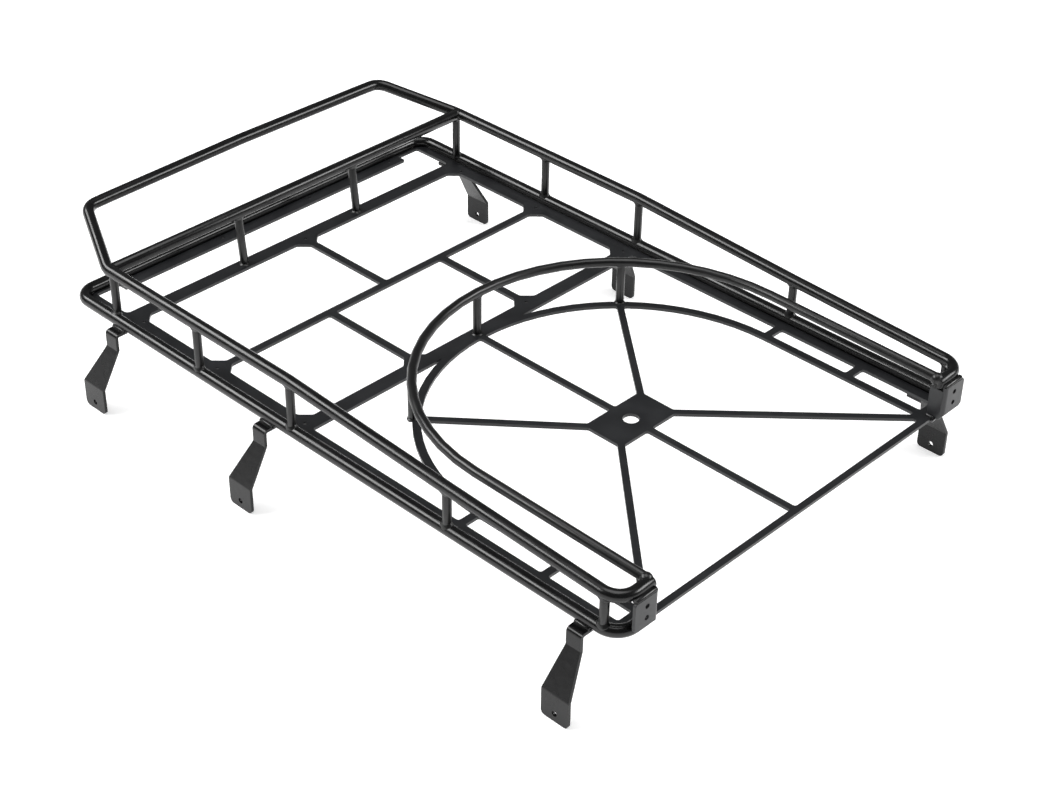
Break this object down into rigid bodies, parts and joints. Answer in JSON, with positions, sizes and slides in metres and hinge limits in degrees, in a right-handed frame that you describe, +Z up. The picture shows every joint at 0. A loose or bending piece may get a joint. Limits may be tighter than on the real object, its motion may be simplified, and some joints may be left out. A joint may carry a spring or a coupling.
{
  "type": "roof rack",
  "caption": "Welded round-bar roof rack for a scale off-road truck, with a laser-cut floor, a raised front hoop, a spare-wheel hoop and bent-sheet feet.",
  "frame": {"origin": "on the ground under the middle of the rack's length and width, level with the lower edges of the feet", "axes": "+Y towards the raised front hoop, +X to the rack's right, +Z up"},
  "size_m": [0.171, 0.2441, 0.0562],
  "materials": {
    "powder_coated_bar": "satin black powder coat on round steel bar",
    "powder_coated_sheet": "satin black powder coat on laser-cut steel sheet",
    "powder_coated_foot": "satin black powder coat on bent steel sheet"
  },
  "bodies": {
    "root": {"corner_plate_left": "powder_coated_sheet", "corner_plate_right": "powder_coated_sheet", "floor_sheet": "powder_coated_sheet", "foot_left_front": "powder_coated_foot", "foot_left_middle": "powder_coated_foot", "foot_left_rear": "powder_coated_foot", "foot_right_front": "powder_coated_foot", "foot_right_middle": "powder_coated_foot", "foot_right_rear": "powder_coated_foot", "front_cross_rail": "powder_coated_bar", "front_post_left": "powder_coated_bar", "front_post_right": "powder_coated_bar", "hoop_post_front": "powder_coated_bar", "hoop_post_left": "powder_coated_bar", "hoop_post_right": "powder_coated_bar", "lower_rail": "powder_coated_bar", "side_post_left_1": "powder_coated_bar", "side_post_left_2": "powder_coated_bar", "side_post_left_3": "powder_coated_bar", "side_post_left_4": "powder_coated_bar", "side_post_left_5": "powder_coated_bar", "side_post_right_1": "powder_coated_bar", "side_post_right_2": "powder_coated_bar", "side_post_right_3": "powder_coated_bar", "side_post_right_4": "powder_coated_bar", "side_post_right_5": "powder_coated_bar", "upper_rail": "powder_coated_bar", "wheel_hoop": "powder_coated_bar"}
  },
  "joints": []
}
